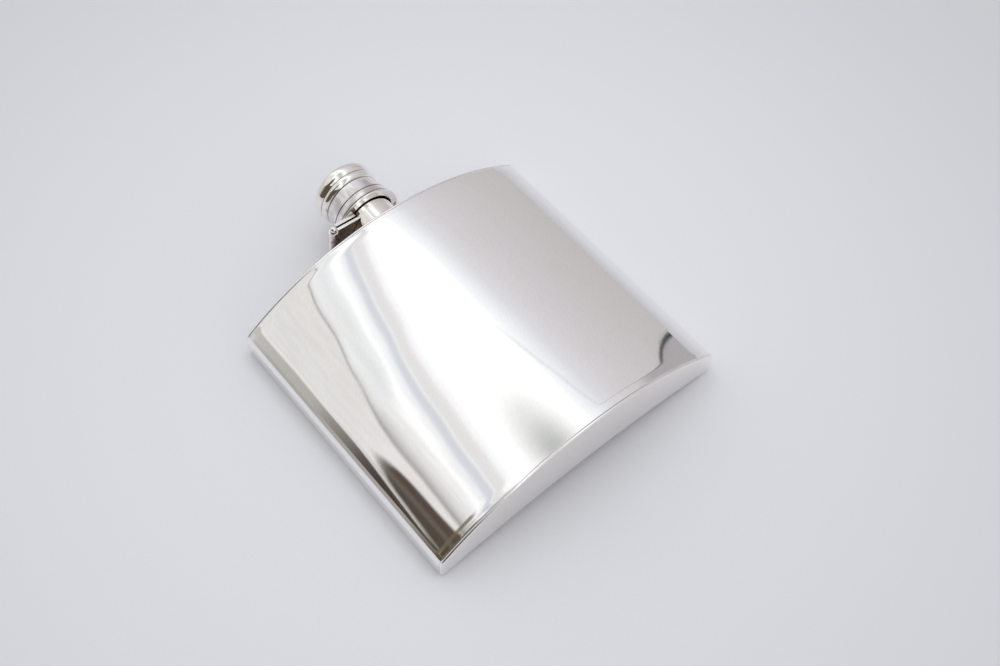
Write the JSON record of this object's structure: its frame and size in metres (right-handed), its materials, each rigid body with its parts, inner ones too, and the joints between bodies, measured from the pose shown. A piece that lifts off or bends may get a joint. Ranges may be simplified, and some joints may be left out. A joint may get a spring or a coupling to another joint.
{
  "type": "hip flask",
  "caption": "Small curved hip flask in polished silver, with a hinged quarter-turn bayonet cap held on a captive ring, closed by a cork disc.",
  "frame": {"origin": "on the resting surface, under the middle of the whole flask, which lies on its hollow back", "axes": "+Y along the flask from the base to the cap, +Z out of the rounded front, +X across the body"},
  "size_m": [0.097, 0.1084, 0.0251],
  "materials": {
    "front_silver": "mirror polished, hand finished",
    "back_silver": "polished, lightly scratched",
    "end_silver": "soft polished",
    "neck_silver": "polished",
    "hinge_silver": "polished",
    "pin_silver": "polished",
    "ring_silver": "polished",
    "satin_silver": "satin",
    "cap_silver": "polished",
    "liner_silver": "as drawn, lightly toned",
    "cork": "fine agglomerated cork"
  },
  "bodies": {
    "flask": {"front_panel": "front_silver", "back_panel": "back_silver", "base_plate": "end_silver", "top_plate": "end_silver", "neck_tube": "neck_silver", "neck_collar": "neck_silver", "neck_lugs": "neck_silver", "fixed_leaf": "hinge_silver", "fixed_knuckles": "hinge_silver", "hinge_pin": "pin_silver"},
    "hinged_ring": {"captive_ring": "ring_silver", "retaining_collar": "ring_silver", "moving_leaf": "hinge_silver", "moving_knuckle": "hinge_silver"},
    "cap": {"cap_skirt": "satin_silver", "cap_bead": "cap_silver", "cap_dome": "cap_silver", "cap_liner": "liner_silver", "liner_plate": "liner_silver", "cork_disc": "cork", "cap_lugs": "liner_silver"}
  },
  "joints": [
    {"name": "cap_hinge", "type": "hinge", "parent": "flask", "child": "hinged_ring", "pos_m": [-0.01384, 0.03679, 0.01633], "axis": [0.0958, 0, 0.9954], "range_deg": [0, 120]},
    {"name": "cap_twist", "type": "hinge", "parent": "hinged_ring", "child": "cap", "pos_m": [0, 0.04035, 0.015], "axis": [0, -1, 0], "range_deg": [0, 90]}
  ]
}
